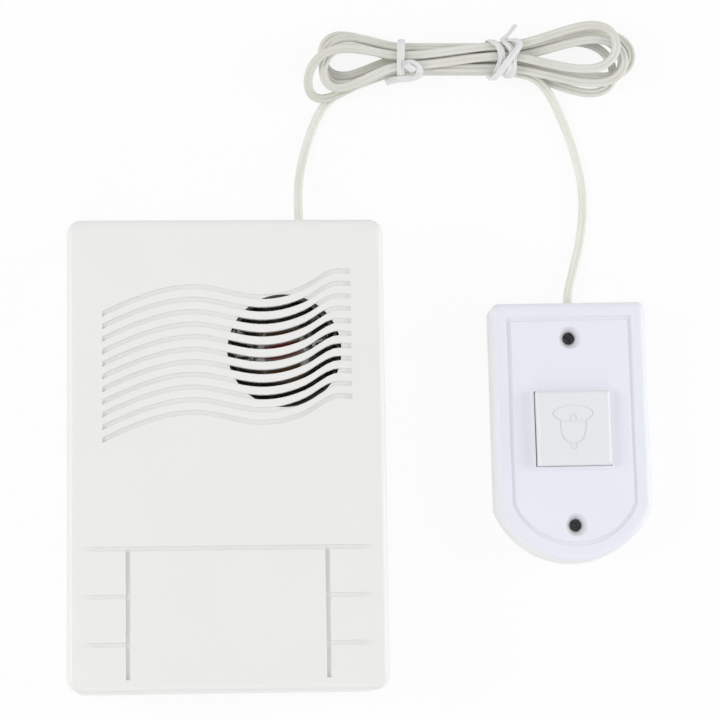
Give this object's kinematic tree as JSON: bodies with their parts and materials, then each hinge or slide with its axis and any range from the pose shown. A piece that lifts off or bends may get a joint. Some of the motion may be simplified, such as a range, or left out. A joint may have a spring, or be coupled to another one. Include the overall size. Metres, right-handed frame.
{
  "type": "wired doorbell chime set",
  "caption": "Box-shaped battery doorbell chime with a wave-slotted front, joined by a tied flat twin lead to a shield-shaped bell push with a square cap.",
  "frame": {"origin": "centre of the chime box's back face, on the plane that the whole set lies on", "axes": "+X to the right seen from the front, +Y along the box to the edge that the lead leaves, +Z out of the front face"},
  "size_m": [0.1668, 0.196, 0.03],
  "materials": {
    "white_shell": "satin moulded white plastic",
    "push_white": "satin moulded cool white plastic",
    "cap_white": "polished cool white plastic",
    "lead_vinyl": "soft vinyl, slightly grey cream",
    "tie_white": "thin white plastic strip",
    "cell_sleeve": "plain dark printed sleeve with a metal nub",
    "plated_steel": "bright plated steel",
    "board_green": "green lacquer over glass fibre",
    "black_resin": "black moulded resin",
    "capacitor_sleeve": "shrunk sleeve",
    "resistor_tan": "lacquered body with plain lead wires",
    "speaker_black": "black lacquered pressed steel",
    "magnet_dark": "sintered magnet",
    "copper": "lacquered copper wire winding",
    "clear_film": "thin clear film over the dark frame",
    "tag_brown": "brown laminate with tinned pads",
    "wire_red": "thin insulated wire",
    "contact_brass": "stamped strip"
  },
  "bodies": {
    "chime_set": {"front_cover": "white_shell", "back_case": "white_shell", "battery_upper": "cell_sleeve", "battery_lower": "cell_sleeve", "battery_springs": "plated_steel", "battery_terminals": "plated_steel", "battery_bridge": "plated_steel", "case_screws": "plated_steel", "circuit_board": "board_green", "sound_chip": "black_resin", "capacitor": "capacitor_sleeve", "transistors": "black_resin", "resistors": "resistor_tan", "board_screws": "plated_steel", "speaker_basket": "speaker_black", "speaker_yoke": "plated_steel", "speaker_magnet": "magnet_dark", "pole_plate": "plated_steel", "cone_surround": "clear_film", "speaker_terminals": "tag_brown", "speaker_screws": "plated_steel", "speaker_wires": "wire_red", "battery_wires": "wire_red", "cord_tail_chime": "lead_vinyl", "button_cover": "push_white", "button_base": "white_shell", "fixed_contacts": "contact_brass", "terminal_screws": "plated_steel", "return_spring": "plated_steel", "cord_tail_button": "lead_vinyl", "button_wires": "lead_vinyl", "cord_lead_chime": "lead_vinyl", "cord_hank": "lead_vinyl", "cord_lead_button": "lead_vinyl", "strap_tie": "tie_white", "twist_tie": "tie_white"},
    "push_cap": {"push_button": "cap_white", "contact_bridge": "contact_brass"},
    "battery_door": {"battery_cover": "white_shell"},
    "diaphragm": {"speaker_cone": "clear_film", "voice_coil": "copper"}
  },
  "joints": [
    {"name": "push_press", "type": "slide", "parent": "chime_set", "child": "push_cap", "axis": [0, 0, -1], "range_m": [0, 0.002], "stiffness_N_per_m": 800, "springref_m": -0.001, "deforming": ["return_spring"]},
    {"name": "door_slide", "type": "slide", "parent": "chime_set", "child": "battery_door", "axis": [0, -1, 0], "range_m": [0, 0.04]},
    {"name": "cone_stroke", "type": "slide", "parent": "chime_set", "child": "diaphragm", "axis": [0, 0, 1], "range_m": [-0.0005, 0.0005], "stiffness_N_per_m": 500, "deforming": ["cone_surround"]}
  ]
}
